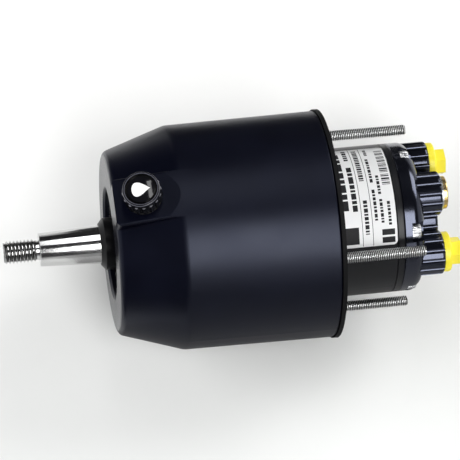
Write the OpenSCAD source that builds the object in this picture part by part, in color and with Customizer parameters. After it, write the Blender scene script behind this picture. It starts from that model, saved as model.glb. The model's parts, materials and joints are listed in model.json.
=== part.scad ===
// Hydraulic helm pump, front-mount type: an axial-piston pump whose reservoir housing stands in
// front of the dash, with a tapered wheel shaft at the front and the ports at the rear.
// The model is built along its own shaft: z runs forward from the mounting face and y points
// to twelve o'clock. to_row() then lays it down, so that the shaft points along -Y and +Z is up.

/* [Pumping parts] */
// Diameter of each piston
piston_d = 18; // [14:0.5:22]
// Tilt of the swash plate from square to the shaft
swash_angle = 12; // [8:0.5:14]
// Diameter of the shaft inside the rotor
rotor_shaft_d = 15; // [12:0.5:18]
// Wall of the rotor between the shaft and the piston bores
hub_wall = 4.7; // [4:0.1:7]
// Wall of the rotor outside the piston bores
rotor_wall = 2.2; // [1.5:0.1:5]
// Length of the rotor
rotor_len = 38; // [34:1:46]
// Thickness of the rotor behind the piston bores
bore_floor = 8; // [6:0.5:12]
// Room left behind the deepest piston
piston_room = 4; // [3:0.5:6]
// Diameter of the spring pocket in each piston
pocket_d = 12; // [10:0.5:13]
// Wire diameter of the piston springs
spring_wire_d = 1.2; // [0.8:0.1:1.6]
// Diameter of the pin that drives the rotor
drive_pin_d = 5; // [4:0.5:6]

/* [Thrust bearing] */
// Thickness of each thrust race
race_t = 3.5; // [3:0.5:5]
// Width of a race to either side of its ball track
race_half = 8.2; // [7:0.1:9]
// Diameter of the thrust balls
thrust_ball_d = 6; // [5:0.5:7]
// Number of thrust balls
thrust_ball_count = 14; // [10:1:16]
// Depth of the seat that locates the fixed race in the swash plate
race_seat = 1; // [0.5:0.1:2]
// Gap between the turning race and the rotor at its nearest
race_clear = 2.8; // [2:0.1:4]
// Wall of the swash plate at its thinnest
swash_wall = 5.5; // [4:0.5:8]
// Thickness of the rim that seats the swash plate on the pump body
swash_rim = 3.5; // [3:0.5:5]
// Diameter of the swash plate screws
swash_screw_d = 3; // [2.5:0.5:3.5]
// Length of thread that the swash plate screws hold in the pump body
swash_grip = 8; // [6:0.5:9]

/* [Rear body] */
// Length of the pump body behind the mounting face
body_len = 32.4; // [26:0.2:40]
// Wall of the pump body round the rotor
body_wall = 7.7; // [7.4:0.1:12]
// Wall of the skirt that carries the swash plate
skirt_wall = 6; // [5.5:0.1:6.5]
// Thickness of the port plate
port_plate_t = 3.8; // [3:0.2:8]
// Thickness of the rear manifold
manifold_t = 11.8; // [11.6:0.2:18]
// Round on the rear edge of the manifold
manifold_round = 6; // [3:0.5:8]
// Diameter of each port boss
boss_d = 24; // [22:0.5:25]
// How far the port bosses stand out of the manifold
boss_len = 11.3; // [8:0.1:15]
// Angle of the steering ports from twelve o'clock
port_angle = 71; // [68:1:74]
// Diameter of the port bores
port_d = 14; // [11:0.5:15]
// Diameter of the manifold screws
manifold_screw_d = 5; // [4:0.5:5.5]
// Diameter of the manifold screw heads
manifold_head_d = 8.2; // [8:0.1:9]
// Depth of the notches that the manifold screw heads lie in
notch_depth = 7.7; // [6:0.1:8]
// Length of thread that the manifold screws hold in the pump body
manifold_grip = 14; // [10:1:16]
// Length of the bush behind the port face
bush_len = 8; // [6:0.5:9]

/* [Mounting] */
// Thickness of the mounting gasket
gasket_t = 2.2; // [1.5:0.1:4]
// How far the gasket stands out round the housing
gasket_lip = 0.8; // [0.2:0.1:2]
// Thickness of the pump body flange
flange_t = 10; // [9:0.5:14]
// Distance from the rear body to the stud axes
stud_gap = 10; // [9:0.5:14]
// Distance from the stud axes to the flange edge
stud_edge = 6.5; // [6:0.5:10]
// Diameter of the mounting studs
stud_d = 6; // [5:0.5:7]
// Length of the studs behind the mounting face
stud_len = 45; // [30:1:60]
// Diameter of the flange screws
flange_screw_d = 5; // [4:0.5:6]
// Length of thread that the flange screws hold in the housing
flange_grip = 12; // [8:1:13]

/* [Housing] */
// Wall of the housing
housing_wall = 5; // [4:0.5:8]
// Length from the mounting face to the front face
housing_len = 120; // [110:1:140]
// Length of the cone at the front
cone_len = 35; // [28:1:40]
// Radial draft of the housing from rear edge to cone
housing_draft = 0.9; // [0.2:0.1:2]
// Diameter where the cone would meet the front face
front_d = 100; // [94:1:108]
// Thickness of the front wall
front_wall = 7; // [5:0.5:10]
// Round on the front edge
front_round = 4; // [2:0.5:6]
// Round between the cylinder and the cone
shoulder_round = 9; // [3:0.5:15]
// Round on the rear edge
rear_round = 1.2; // [0.5:0.1:2]

/* [Filler] */
// Diameter of the filler cap over its ribs
cap_d = 21; // [18:0.5:24]
// Height of the filler cap
cap_h = 12.5; // [10:0.5:16]
// Number of grip ribs round the cap
cap_ribs = 16; // [12:1:24]
// Width of the pad outside the cap
pad_margin = 3; // [2:0.5:5]
// Distance from the front face to the cap
cap_setback = 5.2; // [4:0.1:7]
// Height of the pad over the cone at the front face
pad_step = 5; // [3:0.5:6]
// Diameter of the filler thread
filler_d = 16; // [13:0.5:17]
// Length of the filler thread
filler_len = 10; // [8:0.5:13]

/* [Shaft] */
// Large diameter of the wheel taper
taper_d = 20.9; // [18:0.1:23]
// Length of the wheel taper
taper_len = 33; // [28:0.5:40]
// Taper ratio, length for each unit of diameter
taper_ratio = 12; // [8:1:16]
// Diameter of the wheel nut thread
thread_d = 12.7; // [10:0.1:14]
// Length of the wheel nut thread
thread_len = 19.6; // [15:0.1:30]
// Width of the keyway
key_w = 4.8; // [4:0.1:6]
// Diameter of the nose of the seal cover
nose_d = 28.5; // [27:0.5:32]
// How far the nose stands out of the front face
nose_len = 5.6; // [4:0.2:12]
// Diameter of the shaft between the pump and the front bearing
shaft_mid_d = 20; // [18:0.5:24]

/* [Front bearing] */
// Bore of the front bearing
bearing_bore = 25; // [24:0.5:28]
// Outer diameter of the front bearing
bearing_od = 47; // [46:0.5:52]
// Width of the front bearing
bearing_w = 12; // [10:0.5:15]
// Number of bearing balls
bearing_ball_count = 9; // [7:1:10]
// Radial width of the seal cover outside the bearing
cover_lip = 6.5; // [5:0.5:8]
// Thickness of the seal cover
cover_t = 5; // [4:0.5:7]
// Depth of the recess over the retaining ring
recess_depth = 3.4; // [2:0.1:6]
// Outer diameter of the shaft seal
seal_d = 35; // [32:0.5:38]
// Thickness of the retaining ring
ring_t = 1.6; // [1.2:0.1:2.5]

/* [Lock valve] */
// Bore of the lock valve
valve_d = 7.4; // [7:0.1:8]
// Drop of the lock valve below the shaft axis
valve_drop = 20; // [19:0.5:23]
// Stroke of the valve spool to each side
spool_stroke = 2; // [1:0.1:2.5]
// Stroke of each check ball
ball_stroke = 1.5; // [1:0.1:2]

/* [Hidden] */
$fn = 64;
// Running gap of turning and sliding fits, on the radius
run_gap = 0.04;
// Gap of a fixed seat, on the radius
seat_gap = 0.02;
// Free gap between pieces that pass each other
free_gap = 0.3;
// Overshoot of a cut past the face that it opens
over = 1;

PISTONS = 5;
piston_r = piston_d / 2;
shaft_r = rotor_shaft_d / 2;

// Ring of piston bores. The pistons follow a circle that leans with the swash plate, so their
// path departs from the bores' circle by path_drift, which the bores leave room for.
drift_share = pow(tan(swash_angle / 2), 2);
pitch_r = (shaft_r + hub_wall + piston_r + run_gap) / (1 - drift_share);
path_r = 2 * pitch_r / (1 + cos(swash_angle));
path_drift = path_r - pitch_r;
bore_r = piston_r + path_drift + run_gap;
rotor_r = pitch_r + bore_r + rotor_wall;

// Radii from the rotor outwards
rotor_gap = 0.3;
body_bore_r = rotor_r + rotor_gap;
body_r = body_bore_r + body_wall;
stud_r = body_r + stud_gap;
flange_r = stud_r + stud_edge;
rear_r = flange_r + housing_wall;
shoulder_r = rear_r - housing_draft;
gasket_r = rear_r + gasket_lip;

// Heights along the shaft, from the port face forwards
port_z = -body_len;
flange_z = gasket_t;
flange_front_z = flange_z + flange_t;
rotor_z = port_z + run_gap;
rotor_front_z = rotor_z + rotor_len;
floor_z = rotor_z + bore_floor;

// Stack of the leaning thrust bearing, measured along its own axis from the nose centres
race_out_r = path_r + race_half;
race_in_r = path_r - race_half;
lean_z = rotor_front_z + race_clear - piston_r * cos(swash_angle) + race_out_r * sin(swash_angle);
turning_race_at = piston_r + run_gap;
track_share = 0.73;
ball_space = thrust_ball_d * track_share;
fixed_race_at = turning_race_at + race_t + ball_space;
seat_at = fixed_race_at + race_t;
race_room = 1.2;
skirt_bore_r = race_out_r * cos(swash_angle) + seat_at * sin(swash_angle) + race_room;
skirt_r = skirt_bore_r + skirt_wall;
swash_front_z = lean_z + seat_at / cos(swash_angle) + skirt_bore_r * tan(swash_angle) + swash_wall;
skirt_front_z = swash_front_z - swash_rim;
piston_len = lean_z - path_r * sin(swash_angle) - floor_z - piston_room;
pocket_end = 5;

// Rear stack
plate_rear_z = port_z - port_plate_t;
manifold_rear_z = plate_rear_z - manifold_t;
boss_rear_z = manifold_rear_z - boss_len;
boss_r = boss_d / 2;
boss_pitch_r = body_r - boss_r - 0.5;
manifold_screw_r = body_r - manifold_head_d / 2;
MANIFOLD_SCREW_ANGLES = [36, 100, 180, 260, 324];
head_h = 5;
notch_r = manifold_head_d / 2 + 1.2;
notch_z = manifold_rear_z + notch_depth;
thread_room = 1;
joint_bevel = 0.5;
valve_z = (plate_rear_z + manifold_rear_z) / 2;
valve_r = valve_d / 2;

// Housing outline
shoulder_z = housing_len - cone_len;
front_r = front_d / 2;
draft_angle = atan(housing_draft / (shoulder_z - flange_z));
cone_angle = atan((shoulder_r - front_r) / cone_len);
function cone_r(z) = shoulder_r - (z - shoulder_z) * tan(cone_angle);
function draft_r(z) = rear_r - (z - flange_z) * tan(draft_angle);

// Front bearing and seal, from the front face backwards
bearing_r = bearing_od / 2;
recess_r = bearing_r + cover_lip;
front_hub_r = recess_r + 5;
ring_z = housing_len - recess_depth - ring_t;
cover_z = ring_z - cover_t;
bearing_z = cover_z - bearing_w;
hub_lip = 5;
hub_rear_z = bearing_z - hub_lip;
recess_bevel = 2.2;
ring_in_r = recess_r - 3.5;
ring_groove = 1.4;
nose_z = housing_len + nose_len;
nose_bevel = 2.4;
land_r = taper_d / 2;
seal_t = 5;

// Ball bearing
bearing_bore_r = bearing_bore / 2;
bearing_pitch_r = (bearing_r + bearing_bore_r) / 2;
bearing_ball_r = (bearing_r - bearing_bore_r) * 0.3;
ring_band = (bearing_r - bearing_bore_r) * 0.3;

// Wheel end of the shaft
taper_end_r = land_r - taper_len / taper_ratio / 2;
taper_end_z = nose_z + taper_len;
thread_r = thread_d / 2;
tip_z = taper_end_z + thread_len;
spigot_r = shaft_r - 1.5;
bush_rear_z = port_z - bush_len;
spigot_end_z = bush_rear_z + 1;
shaft_step_z = swash_front_z + 6;
collar_r = bearing_bore_r + 2.5;
collar_z = bearing_z - 5;
bush_r = spigot_r + 2.5;

// Filler pad and cap. The pad leans from the shoulder to its own height at the front face.
pad_w = cap_d + 2 * pad_margin;
pad_front_y = front_r + pad_step;
pad_angle = atan((shoulder_r - pad_front_y) / cone_len);
pad_run = 8;
pad_corner = 3;
pad_edge = 1.5;
cap_r = cap_d / 2;
cap_back = (cap_r + cap_setback) / cos(pad_angle);
neck_r = filler_d / 2 + 3.5;
neck_len = filler_len + 3;
filler_r = filler_d / 2;
seal_wire = 1.8;

stud_hole_gap = 1.2;
stud_tap_r = stud_d / 2 - 0.4;
STUD_ANGLES = [45, 135, 225, 315];
FLANGE_SCREW_ANGLES = [0, 90, 180, 270];
flange_head_r = flange_screw_d * 0.9;
flange_head_h = 3.4;
boss_wall = 4;
flange_boss_r = flange_screw_d / 2 + boss_wall;
flange_boss_len = flange_grip + 4;
flange_screw_len = flange_t + flange_grip;

BODY_BLACK = "#14161f";
RUBBER = "#1b1b1c";
STEEL = "#b9bcc0";
BRIGHT = "#d4d6d9";
BRONZE = "#b08a4e";
YELLOW = "#f2e03a";

// Lays the helm down: forward becomes -Y and twelve o'clock becomes +Z
module to_row() {
    rotate([90, 0, 0]) children();
}

// A plain tube between two heights
module tube(r_out, r_in, z0, z1) {
    translate([0, 0, z0]) difference() {
        cylinder(r = r_out, h = z1 - z0);
        translate([0, 0, -over]) cylinder(r = r_in, h = z1 - z0 + 2 * over);
    }
}

// A round bar between two heights
module bar(r, z0, z1) {
    translate([0, 0, z0]) cylinder(r = r, h = z1 - z0);
}

// A round bar between two heights, bevelled at its rear end and at its front end if that is given
module bevelled_bar(r, z0, z1, rear, front = 0) {
    front_edge = front > 0 ? [[r, z1 - front], [r - front, z1]] : [[r, z1]];
    rotate_extrude() polygon(concat([[0, z0], [r - rear, z0], [r, z0 + rear]], front_edge, [[0, z1]]));
}

// Copies its children to clock angles counted from twelve o'clock, at a radius
module at_clock(angles, radius) {
    for (a = angles) rotate([0, 0, -a]) translate([0, radius, 0]) children();
}

// The frame of the leaning thrust bearing, with its z along the swash plate's normal
module leaning() {
    translate([0, 0, lean_z]) rotate([-swash_angle, 0, 0]) children();
}

// The frame of the filler pad: origin under the cap, z out of the pad, y to the rear
module on_pad() {
    translate([0, pad_front_y, housing_len])
        rotate([pad_angle - 90, 0, 0])
            translate([0, cap_back, 0]) children();
}

// Turns a piece built along z so that it lies along the lock valve's bore, with z outwards
module along_valve(side) {
    translate([0, -valve_drop, valve_z]) rotate([0, side * 90, 0]) children();
}

// A rectangle from the origin's height upwards, with its two upper corners rounded
module round_topped(w, h, r) {
    union() {
        translate([-w / 2, -h]) square([w, h - r]);
        translate([-w / 2 + r, -h]) square([w - 2 * r, h]);
        for (s = [-1, 1]) translate([s * (w / 2 - r), -r]) circle(r = r);
    }
}

// A coil spring with closed ends, as a swept wire
function coil_rise(t, turns, rise, wire) =
    t < 1 ? wire * t :
    t > turns - 1 ? rise - wire * (turns - t) :
    wire + (rise - 2 * wire) * (t - 1) / (turns - 2);

module coil(coil_r, wire_d, length, turns, per_turn = 14, sides = 6) {
    steps = turns * per_turn;
    closed_pitch = 1.06 * wire_d;
    rise = length - wire_d;
    points = [for (i = [0 : steps]) for (k = [0 : sides - 1])
        let (t = i / per_turn, a = 360 * t, b = 360 * k / sides,
            r = coil_r + wire_d / 2 * cos(b),
            z = wire_d / 2 + coil_rise(t, turns, rise, closed_pitch) + wire_d / 2 * sin(b))
        [r * cos(a), r * sin(a), z]];
    sides_faces = [for (i = [0 : steps - 1]) for (k = [0 : sides - 1])
        let (n = (k + 1) % sides, here = i * sides, next = here + sides)
        for (triangle = [[here + k, here + n, next + n], [here + k, next + n, next + k]]) triangle];
    first_cap = [for (k = [sides - 1 : -1 : 0]) k];
    last_cap = [for (k = [0 : sides - 1]) steps * sides + k];
    polyhedron(points, concat(sides_faces, [first_cap, last_cap]), convexity = 8);
}

// A socket-head screw with its head's seat at z = 0 and its shank along +z
module socket_screw(shank_d, shank_len, head_d, head_height, socket_w) {
    edge = head_height * 0.12;
    difference() {
        union() {
            cylinder(r = shank_d / 2, h = shank_len);
            translate([0, 0, -head_height + edge]) cylinder(r = head_d / 2, h = head_height - edge);
            translate([0, 0, -head_height]) cylinder(r1 = head_d / 2 - edge, r2 = head_d / 2, h = edge);
        }
        translate([0, 0, -head_height - over])
            cylinder(r = socket_w / sqrt(3), h = head_height * 0.6 + over, $fn = 6);
    }
}

// Half outline of the housing, radius across and height up, with its rounds as true arcs
module housing_outline() {
    blend_z = shoulder_z + shoulder_round * (1 / cos(draft_angle) - 1 / cos(cone_angle))
        / (tan(cone_angle) - tan(draft_angle));
    blend_r = draft_r(blend_z) - shoulder_round / cos(draft_angle);
    front_z = housing_len - front_round;
    front_c = cone_r(front_z) - front_round / cos(cone_angle);
    rear_z = flange_z + rear_round;
    rear_c = draft_r(rear_z) - rear_round / cos(draft_angle);
    polygon([
        [0, flange_z],
        [rear_c, flange_z],
        [rear_c + rear_round * cos(draft_angle), rear_z + rear_round * sin(draft_angle)],
        [blend_r + shoulder_round * cos(draft_angle), blend_z + shoulder_round * sin(draft_angle)],
        [blend_r + shoulder_round * cos(cone_angle), blend_z + shoulder_round * sin(cone_angle)],
        [front_c + front_round * cos(cone_angle), front_z + front_round * sin(cone_angle)],
        [front_c, housing_len],
        [0, housing_len]]);
    translate([rear_c, rear_z]) circle(r = rear_round);
    translate([blend_r, blend_z]) circle(r = shoulder_round);
    translate([front_c, front_z]) circle(r = front_round);
}

// Half outline of the reservoir inside the housing, which leaves the bearing hub standing
module reservoir_outline() {
    slant = housing_wall / cos(cone_angle);
    inner_front_z = housing_len - front_wall;
    polygon([
        [0, flange_z - over],
        [flange_r + seat_gap, flange_z - over],
        [flange_r + seat_gap, flange_front_z],
        [draft_r(flange_front_z) - housing_wall, flange_front_z],
        [draft_r(shoulder_z) - housing_wall, shoulder_z - housing_wall / 2],
        [cone_r(inner_front_z) - slant, inner_front_z],
        [front_hub_r, inner_front_z],
        [front_hub_r, hub_rear_z],
        [0, hub_rear_z]]);
}

// The raised filler pad, flush with the front face and fading into the cylinder behind
module filler_pad() {
    pad_len = cone_len + pad_run;
    intersection() {
        rotate([90, 0, 0]) translate([0, 0, -rear_r])
            linear_extrude(height = rear_r - front_r / 2) union() {
                translate([-pad_w / 2, housing_len - pad_len]) square([pad_w, pad_len - pad_corner]);
                translate([-pad_w / 2 + pad_corner, housing_len - pad_len])
                    square([pad_w - 2 * pad_corner, pad_len]);
                for (s = [-1, 1])
                    translate([s * (pad_w / 2 - pad_corner), housing_len - pad_corner])
                        circle(r = pad_corner);
            }
        on_pad() translate([0, 2 * pad_len, 0]) rotate([90, 0, 0])
            linear_extrude(height = 4 * pad_len) round_topped(pad_w, front_r, pad_edge);
        rotate_extrude() polygon([[0, flange_z], [rear_r, flange_z],
            [draft_r(housing_len), housing_len], [0, housing_len]]);
    }
}

module front_housing() {
    color(BODY_BLACK) to_row() difference() {
        union() {
            difference() {
                union() {
                    rotate_extrude() housing_outline();
                    filler_pad();
                }
                rotate_extrude() reservoir_outline();
            }
            at_clock(FLANGE_SCREW_ANGLES, stud_r) {
                bar(flange_boss_r, flange_front_z, flange_front_z + flange_boss_len);
                translate([-flange_boss_r, 0, flange_front_z])
                    cube([2 * flange_boss_r, stud_edge + housing_wall / 2, flange_boss_len]);
            }
            on_pad() bar(neck_r, -neck_len, -pad_edge);
        }
        bar(recess_r + seat_gap, cover_z, housing_len + over);
        translate([0, 0, housing_len - recess_bevel + over])
            cylinder(r1 = recess_r, r2 = recess_r + recess_bevel, h = recess_bevel);
        bar(recess_r + ring_groove, ring_z - seat_gap, ring_z + ring_t + seat_gap);
        bar(bearing_r + seat_gap, bearing_z, cover_z + over);
        bar(bearing_pitch_r + bearing_ball_r - 1, hub_rear_z - over, bearing_z + over);
        on_pad() bar(filler_r + free_gap, -neck_len - over, over);
        at_clock(FLANGE_SCREW_ANGLES, stud_r)
            bar(flange_screw_d / 2 + seat_gap, flange_front_z - over,
                flange_front_z + flange_grip + thread_room);
    }
}

module mounting_gasket() {
    color(RUBBER) to_row() difference() {
        tube(gasket_r, body_r + 1.5, 0, gasket_t);
        at_clock(STUD_ANGLES, stud_r) bar(stud_d / 2 + stud_hole_gap, -over, gasket_t + over);
    }
}

// Threaded rods that shoulder on the flange and are tapped into it, with bevelled free ends
module mounting_studs() {
    bevel = 0.7;
    color(BRIGHT) to_row() at_clock(STUD_ANGLES, stud_r) union() {
        bar(stud_tap_r, flange_z - over, flange_front_z);
        bar(stud_d / 2, -stud_len + bevel, flange_z);
        translate([0, 0, -stud_len]) cylinder(r1 = stud_d / 2 - bevel, r2 = stud_d / 2, h = bevel);
    }
}

// Barrel round the rotor, flange that closes the housing, and skirt that carries the swash plate
module pump_body() {
    groove_z = flange_z + flange_t / 2 - 1.5;
    color(BODY_BLACK) to_row() difference() {
        union() {
            bevelled_bar(body_r, port_z, flange_z + over, joint_bevel);
            bar(flange_r, flange_z, flange_front_z);
            bar(skirt_r, flange_front_z - over, skirt_front_z);
        }
        bar(body_bore_r, port_z - over, rotor_front_z + over);
        bar(skirt_bore_r, rotor_front_z, skirt_front_z + over);
        tube(flange_r + over, flange_r - seal_wire, groove_z, groove_z + 3);
        at_clock(STUD_ANGLES, stud_r) bar(stud_tap_r + seat_gap, flange_z - over, flange_front_z + over);
        at_clock(FLANGE_SCREW_ANGLES, stud_r) {
            bar(flange_screw_d / 2 + free_gap, flange_z - over, flange_front_z + over);
            bar(flange_head_r + free_gap, flange_z - over, flange_z + flange_head_h + free_gap);
        }
        at_clock(MANIFOLD_SCREW_ANGLES, manifold_screw_r)
            bar(manifold_screw_d / 2 + seat_gap, port_z - over, port_z + manifold_grip + thread_room);
        at_clock(STUD_ANGLES, (skirt_r + skirt_bore_r) / 2)
            bar(swash_screw_d / 2 + seat_gap, skirt_front_z - swash_grip - thread_room,
                skirt_front_z + over);
    }
}

module pump_body_screws() {
    color(STEEL) to_row() at_clock(FLANGE_SCREW_ANGLES, stud_r)
        translate([0, 0, flange_z + flange_head_h + free_gap])
            socket_screw(flange_screw_d, flange_screw_len - flange_head_h - free_gap,
                2 * flange_head_r, flange_head_h, flange_screw_d * 0.6);
}

module body_o_ring() {
    color(RUBBER) to_row() translate([0, 0, flange_z + flange_t / 2])
        rotate_extrude() translate([flange_r - seal_wire / 2 + seat_gap, 0])
            circle(r = seal_wire / 2 - seat_gap, $fn = 24);
}

// One kidney slot of the port plate, on the side given by its sign
module kidney(side, width, half_angle) {
    reach = 2 * pitch_r;
    translate([0, 0, plate_rear_z - over]) linear_extrude(height = port_plate_t + 2 * over)
        intersection() {
            difference() {
                circle(r = pitch_r + width / 2);
                circle(r = pitch_r - width / 2);
            }
            polygon([[0, 0], [side * reach * cos(half_angle), reach * sin(half_angle)],
                [side * reach, 0], [side * reach * cos(half_angle), -reach * sin(half_angle)]]);
        }
}

module port_plate() {
    color(BODY_BLACK) to_row() difference() {
        bevelled_bar(body_r, plate_rear_z, port_z, joint_bevel, joint_bevel / 2);
        bar(bush_r + seat_gap, plate_rear_z - over, port_z + over);
        for (side = [-1, 1]) kidney(side, piston_r * 0.8, 62);
        at_clock(MANIFOLD_SCREW_ANGLES, manifold_screw_r)
            bar(manifold_screw_d / 2 + free_gap, plate_rear_z - over, port_z + over);
    }
}

module shaft_bush() {
    color(BRONZE) to_row() tube(bush_r, spigot_r + run_gap, bush_rear_z, port_z);
}

// Clock angles of the three bosses: the steering ports and the reservoir port between them
BOSS_ANGLES = [-port_angle, 0, port_angle];
port_depth = boss_len + manifold_t / 2;

// Plan of one boss with axial flutes round its edge
module fluted_plan(radius, flutes) {
    difference() {
        circle(r = radius);
        for (i = [0 : flutes - 1]) rotate([0, 0, 360 * (i + 0.5) / flutes])
            translate([radius + 0.5, 0]) circle(r = 1.5, $fn = 24);
    }
}

// A boss that stands on the manifold, fluted along its side and rounded at its rear edge
module port_boss(radius, flutes) {
    edge = 1.6;
    intersection() {
        translate([0, 0, boss_rear_z]) linear_extrude(height = boss_len + manifold_t / 2)
            fluted_plan(radius, flutes);
        translate([0, 0, boss_rear_z]) rotate_extrude() union() {
            translate([0, edge]) square([radius + over, boss_len + manifold_t]);
            square([radius - edge, edge + over]);
            translate([radius - edge, edge]) circle(r = edge, $fn = 32);
        }
    }
}

module rear_manifold() {
    hub_r = boss_pitch_r - boss_r + 2.5;
    color(BODY_BLACK) to_row() difference() {
        union() {
            rotate_extrude() union() {
                polygon([[0, manifold_rear_z + manifold_round], [body_r, manifold_rear_z + manifold_round],
                    [body_r, plate_rear_z - joint_bevel], [body_r - joint_bevel, plate_rear_z],
                    [0, plate_rear_z]]);
                translate([0, manifold_rear_z]) square([body_r - manifold_round, manifold_round + over]);
                translate([body_r - manifold_round, manifold_rear_z + manifold_round])
                    intersection() {
                        circle(r = manifold_round);
                        translate([0, -manifold_round]) square(manifold_round);
                    }
            }
            at_clock(BOSS_ANGLES, boss_pitch_r) port_boss(boss_r, 14);
            port_boss(hub_r, 20);
        }
        at_clock([-port_angle, port_angle], boss_pitch_r)
            bar(port_d / 2, boss_rear_z - over, boss_rear_z + port_depth);
        at_clock([0], boss_pitch_r) bar(port_d / 2 - 1, boss_rear_z - over, boss_rear_z + port_depth);
        bar(bush_r + seat_gap, bush_rear_z - joint_bevel, plate_rear_z + over);
        at_clock(MANIFOLD_SCREW_ANGLES, manifold_screw_r) {
            bar(manifold_screw_d / 2 + free_gap, boss_rear_z - over, plate_rear_z + over);
            bar(notch_r, boss_rear_z - over, notch_z);
            translate([-notch_r, 0, boss_rear_z - over])
                cube([2 * notch_r, manifold_head_d, notch_z - boss_rear_z + over]);
        }
        for (side = [-1, 1]) {
            along_valve(side) bar(valve_r, -over, body_r + over);
            along_valve(side) bar(valve_r + end_plug_lip + free_gap, valve_span, body_r + over);
            translate([side * valve_feed_x, -valve_drop, valve_z]) rotate([-90, 0, 0])
                bar(2, 0, valve_drop + boss_pitch_r * cos(port_angle));
            translate([side * spool_half, -valve_drop, 0]) bar(2, valve_z, plate_rear_z + over);
        }
    }
}

module manifold_screws() {
    shank = port_z - notch_z + manifold_grip;
    color(BRIGHT) to_row() at_clock(MANIFOLD_SCREW_ANGLES, manifold_screw_r)
        translate([0, 0, notch_z])
            socket_screw(manifold_screw_d, shank, manifold_head_d, head_h, manifold_screw_d * 0.8);
}

// Moulded plug that closes a steering port: spigot, collar and hexagonal head
collar_t = 4;
plug_head_h = 6;
module port_plug(angle) {
    plug_r = port_d / 2 - seat_gap;
    plug_collar_r = boss_r - 1;
    hex_across = port_d - 1;
    color(YELLOW) to_row() at_clock([angle], boss_pitch_r) union() {
        bar(plug_r, boss_rear_z - 1, boss_rear_z + boss_len * 0.8);
        translate([0, 0, boss_rear_z - collar_t]) rotate_extrude() union() {
            translate([0, 1]) square([plug_collar_r, collar_t - 1]);
            square([plug_collar_r - 1, 2]);
            translate([plug_collar_r - 1, 1]) circle(r = 1, $fn = 24);
        }
        translate([0, 0, boss_rear_z - collar_t - plug_head_h])
            cylinder(r = hex_across / sqrt(3), h = plug_head_h + 1, $fn = 6);
    }
}

module port_plug_left() {
    port_plug(-port_angle);
}

module port_plug_right() {
    port_plug(port_angle);
}

washer_t = 1;
module reservoir_plug() {
    plug_r = port_d / 2 - 1 - seat_gap;
    head_r = port_d / 2 + 2;
    plug_h = 2.4;
    color(BRONZE) to_row() at_clock([0], boss_pitch_r) difference() {
        union() {
            bar(plug_r, boss_rear_z - washer_t - 1, boss_rear_z + boss_len * 0.8);
            translate([0, 0, boss_rear_z - washer_t - plug_h]) rotate_extrude() union() {
                translate([0, 0.6]) square([head_r, plug_h - 0.6]);
                square([head_r - 0.6, 1]);
                translate([head_r - 0.6, 0.6]) circle(r = 0.6, $fn = 24);
            }
        }
        translate([0, 0, boss_rear_z - washer_t - plug_h - over])
            cylinder(r = port_d / 2 / sqrt(3), h = plug_h + 4, $fn = 6);
    }
}

module reservoir_plug_seal() {
    color(STEEL) to_row() at_clock([0], boss_pitch_r)
        tube(port_d / 2 + 2.5, port_d / 2 - 1, boss_rear_z - washer_t, boss_rear_z);
}

// Stepped shaft: bush spigot, rotor seat, bearing seat, seal land, wheel taper and thread
module shaft() {
    relief = 1.6;
    relief_r = thread_r - 0.9;
    bevel = 1.1;
    key_depth = key_w / 2;
    color(STEEL) to_row() difference() {
        rotate_extrude() polygon([
            [0, spigot_end_z],
            [spigot_r, spigot_end_z],
            [spigot_r, rotor_z + 1],
            [shaft_r, rotor_z + 1],
            [shaft_r, shaft_step_z],
            [shaft_mid_d / 2, shaft_step_z],
            [shaft_mid_d / 2, collar_z],
            [collar_r, collar_z],
            [collar_r, bearing_z],
            [bearing_bore_r, bearing_z],
            [bearing_bore_r, cover_z],
            [land_r, cover_z],
            [land_r, nose_z],
            [taper_end_r, taper_end_z],
            [relief_r, taper_end_z],
            [relief_r, taper_end_z + relief],
            [thread_r, taper_end_z + relief],
            [thread_r, tip_z - bevel],
            [thread_r - bevel, tip_z],
            [0, tip_z]]);
        translate([0, 0, drive_pin_z]) rotate([0, 90, 0])
            translate([0, 0, -shaft_r - over])
                cylinder(r = drive_pin_d / 2 + seat_gap, h = 2 * (shaft_r + over));
        translate([-key_w / 2, -land_r - over, nose_z + taper_len * 0.3])
            cube([key_w, key_depth + over, taper_len * 0.5]);
    }
}

// Cross pin through the shaft that lies in a slot in the rotor's front face
drive_pin_z = rotor_front_z - drive_pin_d * 0.6;
drive_pin_half = shaft_r + hub_wall - 1.6;
module drive_pin() {
    color(BRIGHT) to_row() translate([0, 0, drive_pin_z]) rotate([0, 90, 0])
        translate([0, 0, -drive_pin_half]) cylinder(r = drive_pin_d / 2, h = 2 * drive_pin_half);
}

function piston_angle(i) = 90 + 360 * (i - 1) / PISTONS;

module rotor() {
    slot_half = drive_pin_half + 0.5;
    slot_w = drive_pin_d + 2 * seat_gap;
    color(BRONZE) to_row() difference() {
        bar(rotor_r, rotor_z, rotor_front_z);
        bar(shaft_r + seat_gap, rotor_z - over, rotor_front_z + over);
        for (i = [1 : PISTONS]) rotate([0, 0, piston_angle(i)]) translate([pitch_r, 0, 0]) {
            bar(bore_r, floor_z, rotor_front_z + over);
            bar(piston_r * 0.4, rotor_z - over, floor_z + over);
        }
        translate([-slot_half, -slot_w / 2, drive_pin_z])
            cube([2 * slot_half, slot_w, rotor_front_z - drive_pin_z + over]);
        translate([-slot_half, 0, drive_pin_z]) rotate([0, 90, 0])
            cylinder(r = slot_w / 2, h = 2 * slot_half);
    }
}

// Where the centre of a piston's nose lies on the leaning path
function nose_x(i) = path_r * cos(piston_angle(i));
function nose_y(i) = path_r * sin(piston_angle(i)) * cos(swash_angle);
function nose_z_at(i) = lean_z - path_r * sin(piston_angle(i)) * sin(swash_angle);

module at_nose(i) {
    translate([nose_x(i), nose_y(i), nose_z_at(i)]) children();
}

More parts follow.
